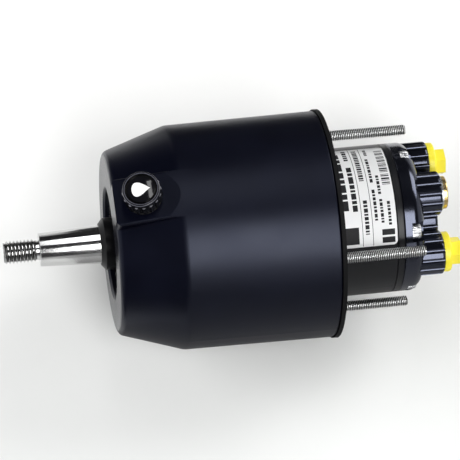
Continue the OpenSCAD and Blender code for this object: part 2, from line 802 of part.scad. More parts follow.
// Hollow piston with a round nose
module piston(i) {
    color(STEEL) to_row() at_nose(i) difference() {
        union() {
            sphere(r = piston_r);
            bar(piston_r, -piston_len, 0);
        }
        bar(pocket_d / 2, -piston_len - over, -pocket_end);
    }
}

module piston_1() {
    piston(1);
}

module piston_2() {
    piston(2);
}

module piston_3() {
    piston(3);
}

module piston_4() {
    piston(4);
}

module piston_5() {
    piston(5);
}

// Spring from the floor of the rotor bore to the end of the piston's pocket
module piston_spring(i) {
    spring_r = pocket_d / 2 - spring_wire_d / 2 - 0.6;
    color(STEEL) to_row() translate([nose_x(i), nose_y(i), floor_z + run_gap])
        coil(spring_r, spring_wire_d, nose_z_at(i) - pocket_end - floor_z - 2 * run_gap, 7);
}

module piston_spring_1() {
    piston_spring(1);
}

module piston_spring_2() {
    piston_spring(2);
}

module piston_spring_3() {
    piston_spring(3);
}

module piston_spring_4() {
    piston_spring(4);
}

module piston_spring_5() {
    piston_spring(5);
}

// Wedge that leans the thrust bearing, seated on the end of the pump body's skirt
module swash_plate() {
    color(STEEL) to_row() difference() {
        union() {
            intersection() {
                bar(skirt_bore_r - seat_gap, lean_z, swash_front_z);
                leaning() bar(2 * skirt_r, seat_at - race_seat, seat_at + 3 * skirt_r);
            }
            bar(skirt_r, skirt_front_z, swash_front_z);
        }
        leaning() bar(race_out_r + seat_gap, 0, seat_at);
        bar(shaft_mid_d / 2 + 2, lean_z, swash_front_z + over);
        at_clock(STUD_ANGLES, (skirt_r + skirt_bore_r) / 2)
            bar(swash_screw_d / 2 + free_gap / 2, skirt_front_z - over, swash_front_z + over);
    }
}

module swash_screws() {
    color(STEEL) to_row() at_clock(STUD_ANGLES, (skirt_r + skirt_bore_r) / 2)
        translate([0, 0, swash_front_z]) mirror([0, 0, 1])
            socket_screw(swash_screw_d, swash_rim + swash_grip, swash_screw_d * 1.8, swash_screw_d,
                swash_screw_d * 0.8);
}

// Half outline of a thrust race with its ball track on the side given
module thrust_race(at, track_at) {
    difference() {
        tube(race_out_r, race_in_r, at, at + race_t);
        translate([0, 0, track_at]) rotate_extrude() translate([path_r, 0])
            circle(r = thrust_ball_d / 2 + run_gap, $fn = 32);
    }
}

ball_plane = turning_race_at + race_t + ball_space / 2;

module thrust_race_fixed() {
    color(BRIGHT) to_row() leaning() thrust_race(fixed_race_at, ball_plane);
}

module thrust_race_turning() {
    color(BRIGHT) to_row() leaning() thrust_race(turning_race_at, ball_plane);
}

module thrust_balls() {
    color(BRIGHT) to_row() leaning() for (i = [0 : thrust_ball_count - 1])
        rotate([0, 0, 360 * i / thrust_ball_count]) translate([path_r, 0, ball_plane])
            sphere(r = thrust_ball_d / 2, $fn = 24);
}

module thrust_cage() {
    cage_t = ball_space * 0.5;
    cage_half = thrust_ball_d * 0.75;
    color(BRONZE) to_row() leaning() difference() {
        tube(path_r + cage_half, path_r - cage_half, ball_plane - cage_t / 2, ball_plane + cage_t / 2);
        for (i = [0 : thrust_ball_count - 1]) rotate([0, 0, 360 * i / thrust_ball_count])
            translate([path_r, 0, 0])
                bar(thrust_ball_d / 2 + free_gap / 2, ball_plane - cage_t, ball_plane + cage_t);
    }
}

bearing_mid_z = bearing_z + bearing_w / 2;

module bearing_track() {
    translate([0, 0, bearing_mid_z]) rotate_extrude() translate([bearing_pitch_r, 0])
        circle(r = bearing_ball_r + run_gap, $fn = 32);
}

module bearing_outer_ring() {
    color(BRIGHT) to_row() difference() {
        tube(bearing_r, bearing_r - ring_band, bearing_z, bearing_z + bearing_w);
        bearing_track();
    }
}

module bearing_inner_ring() {
    color(BRIGHT) to_row() difference() {
        tube(bearing_bore_r + ring_band, bearing_bore_r + seat_gap, bearing_z, bearing_z + bearing_w);
        bearing_track();
    }
}

module at_bearing_balls() {
    for (i = [0 : bearing_ball_count - 1]) rotate([0, 0, 360 * i / bearing_ball_count])
        translate([bearing_pitch_r, 0, bearing_mid_z]) children();
}

module bearing_balls() {
    color(BRIGHT) to_row() at_bearing_balls() sphere(r = bearing_ball_r, $fn = 24);
}

module bearing_cage() {
    half = bearing_ball_r * 0.3;
    color(BRONZE) to_row() difference() {
        tube(bearing_pitch_r + half, bearing_pitch_r - half,
            bearing_mid_z - bearing_ball_r * 1.25, bearing_mid_z + bearing_ball_r * 1.25);
        at_bearing_balls() rotate([0, 90, 0])
            translate([0, 0, -ring_band]) cylinder(r = bearing_ball_r + free_gap / 2, h = 2 * ring_band);
    }
}

module shaft_seal() {
    color(RUBBER) to_row() tube(seal_d / 2, land_r + run_gap, cover_z, cover_z + seal_t);
}

// Disc that closes the bearing bore, with a raised seal pocket and a bevelled nose round the shaft
module seal_cover() {
    pocket_wall = 1.5;
    pocket_lip = 3;
    color(RUBBER) to_row() difference() {
        rotate_extrude() polygon([
            [0, cover_z],
            [recess_r, cover_z],
            [recess_r, ring_z],
            [seal_d / 2 + pocket_lip, ring_z],
            [seal_d / 2 + pocket_lip - 1, cover_z + seal_t + pocket_wall],
            [nose_d / 2, cover_z + seal_t + pocket_wall],
            [nose_d / 2, nose_z - nose_bevel],
            [land_r + 0.9, nose_z],
            [0, nose_z]]);
        bar(seal_d / 2 + seat_gap, cover_z - over, cover_z + seal_t);
        bar(land_r + run_gap, cover_z, nose_z + over);
    }
}

// Internal circlip with a gap and two eyes for the pliers
module retaining_ring() {
    eye_r = 2.2;
    eye_angle = 9;
    ring_split = 3;
    eye_at = ring_in_r + eye_r * 0.2;
    color(STEEL) to_row() difference() {
        union() {
            tube(recess_r + ring_groove - 0.2, ring_in_r, ring_z, ring_z + ring_t);
            at_clock([180 - eye_angle, 180 + eye_angle], eye_at) bar(eye_r, ring_z, ring_z + ring_t);
        }
        at_clock([180 - eye_angle, 180 + eye_angle], eye_at) bar(1, ring_z - over, ring_z + ring_t + over);
        translate([-ring_split / 2, -recess_r - 2 * ring_groove, ring_z - over])
            cube([ring_split, recess_r, ring_t + 2 * over]);
    }
}

// Ribbed plan of the cap's grip
module cap_plan() {
    rib_r = 1.2;
    circle(r = cap_r - rib_r * 0.8);
    for (i = [0 : cap_ribs - 1]) rotate([0, 0, 360 * i / cap_ribs])
        translate([cap_r - rib_r, 0]) circle(r = rib_r, $fn = 16);
}

dish_r = cap_r - 1.7;
dish_depth = 2;
badge_t = 1.2;
module filler_cap() {
    crown = 3;
    crown_r = cap_r - 0.5;
    edge = 0.7;
    color(BODY_BLACK) to_row() on_pad() difference() {
        union() {
            translate([0, 0, seal_seat]) linear_extrude(height = cap_h - crown - seal_seat) cap_plan();
            translate([0, 0, cap_h - crown - over]) rotate_extrude() union() {
                square([crown_r, crown + over - edge]);
                square([crown_r - edge, crown + over]);
                translate([crown_r - edge, crown + over - edge]) circle(r = edge, $fn = 24);
            }
            bar(filler_r, -filler_len, seal_seat + over);
        }
        bar(dish_r, cap_h - dish_depth, cap_h + over);
        bar(filler_r - 3, -filler_len - over, cap_h - dish_depth - 3);
        tube(filler_r + 2 * seal_wire, filler_r - over, 0, seal_seat + seal_wire * 0.2);
    }
}

// The cap stands on its seal ring, which lies on the pad
seal_seat = seal_wire * 0.8;

// Domed disc set in the dish of the cap
module cap_badge() {
    badge_gap = 1.6;
    badge_r = dish_r - badge_gap;
    dome = 0.8;
    sphere_r = (badge_r * badge_r + dome * dome) / (2 * dome);
    color(BODY_BLACK) to_row() on_pad() translate([0, 0, cap_h - dish_depth])
        rotate_extrude() intersection() {
            square([badge_r, badge_t + dome]);
            translate([0, badge_t + dome - sphere_r]) circle(r = sphere_r, $fn = 360);
        }
}

module cap_o_ring() {
    color(RUBBER) to_row() on_pad() translate([0, 0, seal_wire / 2])
        rotate_extrude() translate([filler_r + seal_wire / 2 + 2 * seat_gap, 0])
            circle(r = seal_wire / 2, $fn = 24);
}

// Lock valve: a spool between two check balls, each with a seat, a spring and an end plug
spool_half = 5;
stem_r = 1.4;
seat_x = spool_half + spool_stroke + 1.5;
seat_len = 4;
check_ball_r = valve_r * 0.7;
seat_hole_r = check_ball_r * 0.7;
ball_x = seat_x + seat_len + sqrt(pow(check_ball_r, 2) - pow(seat_hole_r, 2)) + run_gap;
end_plug_len = 4.5;
end_plug_lip = 1;
end_plug_head = 2;
valve_span = sqrt(pow(body_r, 2) - pow(valve_drop + valve_r + end_plug_lip + free_gap, 2))
    - end_plug_head - joint_bevel;
stem_end_x = ball_x - check_ball_r - spool_stroke - free_gap;
plug_in_x = valve_span - end_plug_len;
valve_feed_x = ball_x + check_ball_r + 0.5;

module valve_spool() {
    color(STEEL) to_row() along_valve(1) union() {
        bar(valve_r - run_gap, -spool_half, spool_half);
        bar(stem_r, -stem_end_x, stem_end_x);
    }
}

module check_seat(side) {
    color(BRONZE) to_row() along_valve(side)
        tube(valve_r - seat_gap, seat_hole_r, seat_x, seat_x + seat_len);
}

module check_ball(side) {
    color(BRIGHT) to_row() along_valve(side) translate([0, 0, ball_x]) sphere(r = check_ball_r);
}

module check_spring(side) {
    start = ball_x + check_ball_r + run_gap;
    color(STEEL) to_row() along_valve(side) translate([0, 0, start])
        coil(check_ball_r * 0.62, 0.6, plug_in_x - start - run_gap, 5, 12, 5);
}

module valve_end_plug(side) {
    color(STEEL) to_row() along_valve(side) difference() {
        union() {
            bar(valve_r - seat_gap, plug_in_x, valve_span);
            bar(valve_r + end_plug_lip, valve_span, valve_span + end_plug_head);
        }
        translate([0, 0, valve_span - 1.5])
            cylinder(r = valve_r * 0.55, h = 2 * end_plug_head + over, $fn = 6);
    }
}

module check_seat_left() {
    check_seat(-1);
}

module check_seat_right() {
    check_seat(1);
}

module check_ball_left() {
    check_ball(-1);
}

module check_ball_right() {
    check_ball(1);
}

module check_spring_left() {
    check_spring(-1);
}

module check_spring_right() {
    check_spring(1);
}

module valve_end_plug_left() {
    valve_end_plug(-1);
}

module valve_end_plug_right() {
    valve_end_plug(1);
}

front_housing();
mounting_gasket();
mounting_studs();
pump_body();
pump_body_screws();
body_o_ring();
port_plate();
rear_manifold();
manifold_screws();
port_plug_left();
port_plug_right();
reservoir_plug();
reservoir_plug_seal();
shaft();
drive_pin();
rotor();
piston_1();
piston_2();
piston_3();
piston_4();
piston_5();
piston_spring_1();
piston_spring_2();
piston_spring_3();
piston_spring_4();
piston_spring_5();
swash_plate();
swash_screws();
thrust_race_fixed();
thrust_balls();
thrust_cage();
thrust_race_turning();
bearing_outer_ring();
bearing_inner_ring();
bearing_balls();
bearing_cage();
shaft_seal();
seal_cover();
retaining_ring();
shaft_bush();
filler_cap();
cap_badge();
cap_o_ring();
valve_spool();
check_seat_left();
check_seat_right();
check_ball_left();
check_ball_right();
check_spring_left();
check_spring_right();
valve_end_plug_left();
valve_end_plug_right();
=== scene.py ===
"""Hydraulic helm pump, dressed: finishes, threads, label, light and camera round the frame."""
import json
import math

import bmesh
import bpy
from mathutils import Matrix, Vector


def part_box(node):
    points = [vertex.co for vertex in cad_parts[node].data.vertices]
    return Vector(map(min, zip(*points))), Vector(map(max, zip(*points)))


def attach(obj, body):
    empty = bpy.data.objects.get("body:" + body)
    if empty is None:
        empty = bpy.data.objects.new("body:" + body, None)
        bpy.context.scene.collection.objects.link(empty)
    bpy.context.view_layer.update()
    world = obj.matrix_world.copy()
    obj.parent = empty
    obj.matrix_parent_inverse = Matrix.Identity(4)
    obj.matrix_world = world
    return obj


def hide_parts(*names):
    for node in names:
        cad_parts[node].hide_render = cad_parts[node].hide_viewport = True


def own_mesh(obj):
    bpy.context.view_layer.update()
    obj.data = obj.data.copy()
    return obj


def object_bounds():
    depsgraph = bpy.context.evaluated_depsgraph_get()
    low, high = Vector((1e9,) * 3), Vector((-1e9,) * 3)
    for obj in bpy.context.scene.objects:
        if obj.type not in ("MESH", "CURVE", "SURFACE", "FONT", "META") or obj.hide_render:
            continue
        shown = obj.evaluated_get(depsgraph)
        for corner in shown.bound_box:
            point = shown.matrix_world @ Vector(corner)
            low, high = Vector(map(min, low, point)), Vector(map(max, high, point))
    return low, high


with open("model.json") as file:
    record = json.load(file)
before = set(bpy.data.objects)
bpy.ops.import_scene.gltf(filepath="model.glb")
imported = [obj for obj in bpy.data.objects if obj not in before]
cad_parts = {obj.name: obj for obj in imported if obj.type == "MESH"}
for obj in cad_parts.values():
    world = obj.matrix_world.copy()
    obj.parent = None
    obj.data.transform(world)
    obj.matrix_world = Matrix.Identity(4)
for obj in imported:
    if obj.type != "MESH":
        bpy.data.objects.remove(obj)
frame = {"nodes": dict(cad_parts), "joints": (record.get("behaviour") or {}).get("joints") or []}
cad_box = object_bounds()
nodes = frame["nodes"]

MM = 0.001
QUARTER_TURN = math.radians(90)

# Name of the value that threaded meshes carry on their points
GROOVE = "groove"

# The helm's own axes: z forward along the shaft, y at twelve o'clock. This lays them in the frame.
ALONG_SHAFT = Matrix.Rotation(QUARTER_TURN, 4, "X")


def joint(name):
    """A joint of the frame, by its name."""
    return next(entry for entry in frame["joints"] if entry["name"] == name)


# Filler cap's axis, and its sizes as the frame has them

FLAT_BAND = 0.01 * MM
AT_RIM = 0.99

cap_turn = joint("cap_turn")
cap_centre = Vector(cap_turn["pos_m"])
cap_axis = Vector(cap_turn["axis"]).normalized()
if cap_axis.z < 0:
    cap_axis.negate()


def rise_and_reach(node_name):
    """Height along the cap's axis and distance from that axis, for each point of a node."""
    pairs = []
    for vertex in nodes[node_name].data.vertices:
        offset = vertex.co - cap_centre
        rise = offset.dot(cap_axis)
        pairs.append((rise, (offset - rise * cap_axis).length))
    return pairs


cap_points = rise_and_reach("filler_cap")
cap_top = max(rise for rise, reach in cap_points)
cap_r = max(reach for rise, reach in cap_points)
dish_r = min(reach for rise, reach in cap_points if rise > cap_top - FLAT_BAND)
rib_top = max(rise for rise, reach in cap_points if reach > AT_RIM * cap_r)


# Shader writing


class Signal:
    """A shader socket that takes part in sums; each operator adds a Math node."""

    def __init__(self, sheet, socket):
        self.sheet = sheet
        self.socket = socket

    def math(self, operation, *values):
        return self.sheet.node("ShaderNodeMath", {"operation": operation}, dict(enumerate(values)))

    def __add__(self, other):
        return self.math("ADD", self, other)

    def __sub__(self, other):
        return self.math("SUBTRACT", self, other)

    def __rsub__(self, other):
        return self.math("SUBTRACT", other, self)

    def __mul__(self, other):
        return self.math("MULTIPLY", self, other)

    __radd__ = __add__
    __rmul__ = __mul__

    def between(self, low, high):
        """0 below low, 1 above high and a smooth step between them."""
        return self.sheet.node(
            "ShaderNodeMapRange",
            {"interpolation_type": "SMOOTHSTEP"},
            {"Value": self, "From Min": low, "From Max": high},
        )

    def past(self, edge, start, end):
        """The same step, between two distances in mm beyond an edge."""
        return self.between(edge + start * MM, edge + end * MM)

    def swing(self, amount):
        """A signal of 0 to 1 as a swing by half the amount either way."""
        return amount * (self - 0.5)


class Sheet:
    """A node tree that shaders are written on."""

    def __init__(self, tree):
        self.tree = tree
        tree.nodes.clear()

    def node(self, kind, settings=None, inputs=None, output=0):
        """Any node: its type, its settings, then the values or links of its sockets."""
        made = self.tree.nodes.new(kind)
        for key, value in (settings or {}).items():
            setattr(made, key, value)
        for key, value in (inputs or {}).items():
            self.feed(made.inputs[key], value)
        return Signal(self, made.outputs[output])

    def feed(self, socket, value):
        if isinstance(value, Signal):
            self.tree.links.new(value.socket, socket)
        elif socket.type == "RGBA":
            socket.default_value = (*value, 1)
        else:
            socket.default_value = value

    def place(self):
        return self.node("ShaderNodeTexCoord", output="Object")

    def part_of(self, vector, axis):
        return self.node("ShaderNodeSeparateXYZ", None, {0: vector}, axis)

    def noise(self, scale, detail, roughness=0.5):
        """Noise of about scale cells to the metre."""
        inputs = {"Vector": self.place(), "Scale": scale, "Detail": detail, "Roughness": roughness}
        return self.node("ShaderNodeTexNoise", None, inputs)

    def lines(self, at, scale):
        """Noise along one length, as a tool leaves it."""
        return self.node(
            "ShaderNodeTexNoise",
            {"noise_dimensions": "1D"},
            {"W": at, "Scale": scale, "Detail": 3.0, "Roughness": 0.6},
        )

    def blend(self, factor, first, second):
        inputs = {0: factor, 6: first, 7: second}
        return self.node("ShaderNodeMix", {"data_type": "RGBA"}, inputs, 2)

    def vector(self, operation, first, second=None, output="Vector"):
        inputs = {0: first} if second is None else {0: first, 1: second}
        return self.node("ShaderNodeVectorMath", {"operation": operation}, inputs, output)

    def bump(self, height, distance):
        inputs = {"Height": height, "Distance": distance, "Strength": 1.0}
        return self.node("ShaderNodeBump", None, inputs, "Normal")

    def groove(self):
        """1 in the root of a thread and 0 on its crest, and 0 on pieces with no thread."""
        return self.node("ShaderNodeAttribute", {"attribute_name": GROOVE}, None, "Fac")

    def lathe_length(self):
        """Length along the shaft plus distance from it: rings on a face, rounds on a side."""
        place = self.place()
        across = self.vector("MULTIPLY", place, (1, 0, 1))
        return self.part_of(place, "Y") + self.vector("LENGTH", across, output="Value")


class Finish(Sheet):
    """A material with one shader, whose sockets are set by shade()."""

    def __init__(self, name):
        self.material = bpy.data.materials.new(name)
        self.material.use_nodes = True
        super().__init__(self.material.node_tree)
        self.shader = self.tree.nodes.new("ShaderNodeBsdfPrincipled")
        output = self.tree.nodes.new("ShaderNodeOutputMaterial")
        self.tree.links.new(self.shader.outputs[0], output.inputs["Surface"])

    def shade(self, **sockets):
        for key, value in sockets.items():
            self.feed(self.shader.inputs[key.replace("_", " ")], value)
        return self.material


# Finishes. Each has a deep and a pale colour, which it wanders between.

PAINT_TINT = (0.70, 0.76, 1.0)
SPECK_SHARE, SPECK_GAIN = 0.25, 3
SMOOTHER_ON_FLAT = 0.12


def sprayed_paint(name, deep, pale, roughness, peel, gloss, flat_end=None):
    """Sprayed paint: slow clouds in its colour and sheen, and the fine peel of a sprayed skin.

    Where flat_end gives a place along the shaft, the face in front of it was machined first,
    and is smoother.
    """
    finish = Finish(name)
    if flat_end is not None:
        along = finish.part_of(finish.place(), "Y")
        roughness = roughness - SMOOTHER_ON_FLAT * (1 - along.past(flat_end, 0, 0.5))
    cloud = finish.noise(38, 3)
    skin = finish.noise(1500, 2, 0.4)
    specks = finish.noise(5200, 1).between(0.68, 0.76)
    colour = finish.blend(cloud.between(0.3, 0.75), deep, pale)
    speck_colour = tuple(SPECK_GAIN * channel for channel in pale)
    return finish.shade(
        Base_Color=finish.blend(specks * SPECK_SHARE, colour, speck_colour),
        Roughness=cloud.swing(0.10) + skin.swing(0.06) + roughness,
        Specular_IOR_Level=gloss,
        Specular_Tint=PAINT_TINT,
        Normal=finish.bump(skin, peel),
    )


BLACK_RINGS = 2600
BRIGHT_RINGS = 3400


def turned_black(name, deep, pale, roughness, depth, gloss):
    """Blackened metal or plastic that was turned: faint rings from the tool under a satin black."""
    finish = Finish(name)
    rings = finish.lines(finish.lathe_length(), BLACK_RINGS)
    cloud = finish.noise(60, 3)
    return finish.shade(
        Base_Color=finish.blend(0.6 * rings + 0.4 * cloud, deep, pale),
        Roughness=roughness + rings.swing(0.16) + cloud.swing(0.08),
        Specular_IOR_Level=gloss,
        Normal=finish.bump(rings, depth),
    )


# Painted shade: thread roots darkened in the base colour, standing in for shade that falls in them
SHADE_IN_THREAD_ROOTS = (0.035, 0.034, 0.032)
ROOT_SHADE_ON_LATHE_WORK = 0.85
ROUGHER_IN_GROOVE = 0.15


def turned_metal(name, deep, pale, roughness, depth):
    """Bright metal off the lathe: fine rings round the shaft, handling haze, painted shade in
    threads.
    """
    finish = Finish(name)
    rings = finish.lines(finish.lathe_length(), BRIGHT_RINGS)
    haze = finish.noise(90, 4)
    groove = finish.groove()
    metal = finish.blend(0.5 * rings + 0.5 * haze, deep, pale)
    uneven = rings.swing(0.10) + haze.swing(0.10)
    return finish.shade(
        # painted shade in the thread roots
        Base_Color=finish.blend(ROOT_SHADE_ON_LATHE_WORK * groove, metal, SHADE_IN_THREAD_ROOTS),
        Metallic=1.0,
        Roughness=roughness + uneven + ROUGHER_IN_GROOVE * groove,
        Normal=finish.bump(rings, depth),
    )


def plain_metal(name, deep, pale, roughness, grain=2700, depth=2e-6, root_shade=0.5):
    """Metal with no lay of its own: plated, ground or cast, mottled in colour and sheen."""
    finish = Finish(name)
    mottle = finish.noise(180, 4)
    fine = finish.noise(grain, 3, 0.6)
    groove = finish.groove().between(0.35, 0.7)
    metal = finish.blend(mottle.between(0.3, 0.7), deep, pale)
    uneven = mottle.swing(0.10) + fine.swing(0.08)
    return finish.shade(
        # painted shade in the thread roots, as strong as the share given
        Base_Color=finish.blend(root_shade * groove, metal, SHADE_IN_THREAD_ROOTS),
        Metallic=1.0,
        Roughness=roughness + uneven + ROUGHER_IN_GROOVE * groove,
        Normal=finish.bump(fine, depth),
    )


def rubber(name, deep, pale):
    """Moulded rubber: matt, slightly bloomed."""
    finish = Finish(name)
    bloom = finish.noise(140, 4)
    pores = finish.noise(4200, 2)
    return finish.shade(
        Base_Color=finish.blend(bloom.between(0.35, 0.8), deep, pale),
        Roughness=0.62 + bloom.swing(0.2),
        Specular_IOR_Level=0.12,
        Normal=finish.bump(pores, 1.2e-5),
    )


# Painted highlights: lighter base colour standing in for gloss on the cap's rim edges and rib ends
PAINTED_RIM_HIGHLIGHT = (0.080, 0.082, 0.105)
PAINTED_RIB_HIGHLIGHT = (0.21, 0.21, 0.24)


def plastic_with_painted_highlights(name, deep, pale, roughness, grain):
    """The cap's plastic, with painted highlights: the rim's two edges and the ribs' ends are
    lighter.
    """
    finish = Finish(name)
    offset = finish.vector("SUBTRACT", finish.place(), cap_centre)
    rise = finish.vector("DOT_PRODUCT", offset, cap_axis, "Value")
    across = finish.vector("CROSS_PRODUCT", offset, cap_axis)
    reach = finish.vector("LENGTH", across, output="Value")
    rim_edges = 1 - reach.past(dish_r, 0.15, 0.40) + reach.past(cap_r, -0.90, -0.60)
    rim = rise.past(cap_top, -0.9, -0.3) * rim_edges
    rib_height = rise.past(rib_top, -0.4, -0.1) * (1 - rise.past(rib_top, 0.1, 0.3))
    rib_ends = rib_height * reach.past(cap_r, -0.5, -0.3)
    spark = finish.noise(2600, 2, 0.6)
    cloud = finish.noise(70, 2)
    # painted highlight: rim edges and rib ends lightened in the base colour
    with_rim_highlight = finish.blend(rim, finish.blend(cloud, deep, pale), PAINTED_RIM_HIGHLIGHT)
    return finish.shade(
        Base_Color=finish.blend(rib_ends, with_rim_highlight, PAINTED_RIB_HIGHLIGHT),
        Roughness=roughness + spark.swing(0.12) + cloud.swing(0.06),
        Normal=finish.bump(spark, grain),
    )


def polythene(name, deep, pale):
    """Soft yellow polythene that lets a little light in."""
    finish = Finish(name)
    cloud = finish.noise(110, 3)
    flow = finish.noise(900, 2)
    return finish.shade(
        Base_Color=finish.blend(cloud, deep, pale),
        Roughness=0.34 + flow.swing(0.12),
        Subsurface_Weight=0.12,
        Subsurface_Radius=(1.0, 0.8, 0.2),
        Subsurface_Scale=2 * MM,
        Normal=finish.bump(flow, 1e-5),
    )


def domed_resin(name, deep, pale):
    """Clear resin poured over black: almost a mirror, with a trace of haze."""
    finish = Finish(name)
    haze = finish.noise(160, 3)
    return finish.shade(
        Base_Color=finish.blend(haze, deep, pale),
        Roughness=0.05 + 0.05 * haze,
        Normal=finish.bump(finish.noise(240, 1), 8e-6),
    )


def printed_film(name, deep, pale, roughness, gloss):
    """Label stock or the ink on it: a thin satin film with a faint tooth."""
    finish = Finish(name)
    tooth = finish.noise(3000, 2)
    cloud = finish.noise(120, 3)
    return finish.shade(
        Base_Color=finish.blend(0.5 * cloud + 0.5 * tooth, deep, pale),
        Roughness=roughness + tooth.swing(0.1),
        Specular_IOR_Level=gloss,
        Normal=finish.bump(tooth, 4e-6),
    )


front_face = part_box("front_housing")[0].y
housing_paint = sprayed_paint(
    "housing_paint", (0.0006, 0.0008, 0.0036), (0.0012, 0.0015, 0.0056),
    roughness=0.36, peel=1.6e-5, gloss=0.315, flat_end=front_face + 0.1 * MM,
)
manifold_paint = sprayed_paint(
    "manifold_paint", (0.0018, 0.0020, 0.0036), (0.0034, 0.0037, 0.0058),
    roughness=0.15, peel=1.0e-5, gloss=0.85,
)
barrel_black = turned_black(
    "barrel_black", (0.004, 0.0043, 0.0055), (0.009, 0.0095, 0.0115),
    roughness=0.38, depth=3e-6, gloss=0.3,
)
plate_black = turned_black(
    "plate_black", (0.004, 0.0043, 0.0055), (0.008, 0.0085, 0.0105),
    roughness=0.32, depth=3e-6, gloss=0.3,
)
cover_plastic = turned_black(
    "cover_plastic", (0.003, 0.003, 0.0035), (0.007, 0.007, 0.008),
    roughness=0.34, depth=4e-6, gloss=0.16,
)
cap_plastic = plastic_with_painted_highlights(
    "cap_plastic", (0.0025, 0.0025, 0.003), (0.005, 0.005, 0.006), roughness=0.22, grain=5e-6
)
badge_resin = domed_resin("badge_resin", (0.003, 0.003, 0.004), (0.006, 0.006, 0.008))
gasket_rubber = rubber("gasket_rubber", (0.0035, 0.0035, 0.004), (0.007, 0.007, 0.0075))
seal_rubber = rubber("seal_rubber", (0.008, 0.008, 0.008), (0.015, 0.015, 0.015))
shaft_steel = turned_metal(
    "shaft_steel", (0.55, 0.55, 0.56), (0.69, 0.69, 0.68), roughness=0.13, depth=1.2e-6
)
bronze = turned_metal(
    "bronze", (0.46, 0.29, 0.12), (0.66, 0.45, 0.21), roughness=0.30, depth=2e-6
)
plug_brass = turned_metal(
    "plug_brass", (0.62, 0.44, 0.17), (0.84, 0.64, 0.30), roughness=0.25, depth=1.5e-6
)
# The studs' thread roots carry strong painted shade
stud_zinc = plain_metal(
    "stud_zinc", (0.82, 0.83, 0.84), (0.93, 0.93, 0.92), roughness=0.34, root_shade=0.95
)
screw_steel = plain_metal(
    "screw_steel", (0.50, 0.51, 0.53), (0.72, 0.73, 0.74), roughness=0.27
)
piston_steel = plain_metal(
    "piston_steel", (0.60, 0.61, 0.63), (0.75, 0.76, 0.78),
    roughness=0.18, grain=7200, depth=8e-7,
)
ball_steel = plain_metal(
    "ball_steel", (0.68, 0.69, 0.71), (0.78, 0.79, 0.81), roughness=0.10, grain=9000, depth=4e-7
)
spring_wire = plain_metal(
    "spring_wire", (0.30, 0.31, 0.33), (0.48, 0.49, 0.51), roughness=0.32
)
ring_steel = plain_metal("ring_steel", (0.30, 0.30, 0.31), (0.46, 0.46, 0.47), roughness=0.22)
plug_yellow = polythene("plug_yellow", (0.88, 0.75, 0.020), (0.94, 0.84, 0.060))
label_stock = printed_film(
    "label_stock", (0.80, 0.81, 0.82), (0.87, 0.87, 0.87), roughness=0.40, gloss=0.5
)
label_ink = printed_film(
    "label_ink", (0.008, 0.008, 0.010), (0.022, 0.022, 0.024), roughness=0.50, gloss=0.15
)
mark_white = printed_film(
    "mark_white", (0.76, 0.76, 0.76), (0.84, 0.84, 0.84), roughness=0.30, gloss=0.5
)

NODE_FINISHES = {
    "front_housing": housing_paint,
    "mounting_gasket": gasket_rubber,
    "pump_body": barrel_black,
    "port_plate": plate_black,
    "rear_manifold": manifold_paint,
    "seal_cover": cover_plastic,
    "filler_cap": cap_plastic,
    "cap_badge": badge_resin,
    "port_plug_left": plug_yellow,
    "port_plug_right": plug_yellow,
    "reservoir_plug": plug_brass,
    "retaining_ring": ring_steel,
}
SLOT_FINISHES = {
    "seal_rubber": seal_rubber,
    "stud_steel": stud_zinc,
    "screw_steel": screw_steel,
    "shaft_steel": shaft_steel,
    "piston_steel": piston_steel,
    "bearing_steel": ball_steel,
    "spring_steel": spring_wire,
    "bronze": bronze,
}
for name, node in nodes.items():
    slot = node.material_slots[0]
    slot.material = NODE_FINISHES.get(name) or SLOT_FINISHES[slot.material.name]


# Mesh making

SHARP_EDGE = 32


def ring(radius, height, count):
    """One ring of points; the radius is a number or a function of the angle."""
    points = []
    for i in range(count):
        angle = 2 * math.pi * i / count
        r = radius(angle) if callable(radius) else radius
        points.append((r * math.cos(angle), r * math.sin(angle), height))
    return points


def rings_at(stations, count):
    """Rings for a row of radii and heights, as a lathe works along a bar."""
    return [ring(radius, height, count) for radius, height in stations]


def loft(bm, rings, close=True):
    """Skins a row of rings of equal count, and closes both ends with a face."""
    rows = [[bm.verts.new(point) for point in points] for points in rings]
    count = len(rows[0])
    for lower, upper in zip(rows, rows[1:]):
        for i in range(count):
            j = (i + 1) % count
            bm.faces.new((lower[i], lower[j], upper[j], upper[i]))
    if close:
        bm.faces.new(rows[0])
        bm.faces.new(rows[-1])


# One pitch of a thread: share of the pitch, and 0 for the root or 1 for the crest
THREAD_FORM = ((0.0, 0), (0.25, 0), (0.5625, 1), (0.6875, 1))
# Depth of a thread as a share of its pitch, and the slope of the bevel at its ends
THREAD_DEPTH = 0.6134
END_BEVEL = 0.8


def thread(bm, crest, root, pitch, start, end, count):
    """A screw thread whose faces follow the helix, and run out to the root at both bevelled ends."""
    steps = len(THREAD_FORM)
    turns = math.ceil((end - start) / pitch) + 2
    groove = bm.verts.layers.float.get(GROOVE) or bm.verts.layers.float.new(GROOVE)
    rows = []
    for j in range(steps * (turns + 1)):
        share, high = THREAD_FORM[j % steps]
        row = []
        for i in range(count):
            height = start + (j // steps + share + i / count - 1) * pitch
            height = min(max(height, start), end)
            from_end = min(height - start, end - height)
            radius = min(root + high * (crest - root), root + END_BEVEL * from_end)
            angle = 2 * math.pi * i / count
            vertex = bm.verts.new((radius * math.cos(angle), radius * math.sin(angle), height))
            vertex[groove] = (crest - radius) / (crest - root) if start < height < end else 0.0
            row.append(vertex)
        rows.append(row)
    for j in range(steps * turns - 1):
        for i in range(count):
            if i + 1 < count:
                here, there = rows[j][i + 1], rows[j + 1][i + 1]
            else:
                here, there = rows[j + steps][0], rows[j + 1 + steps][0]
            bm.faces.new((rows[j][i], here, there, rows[j + 1][i]))


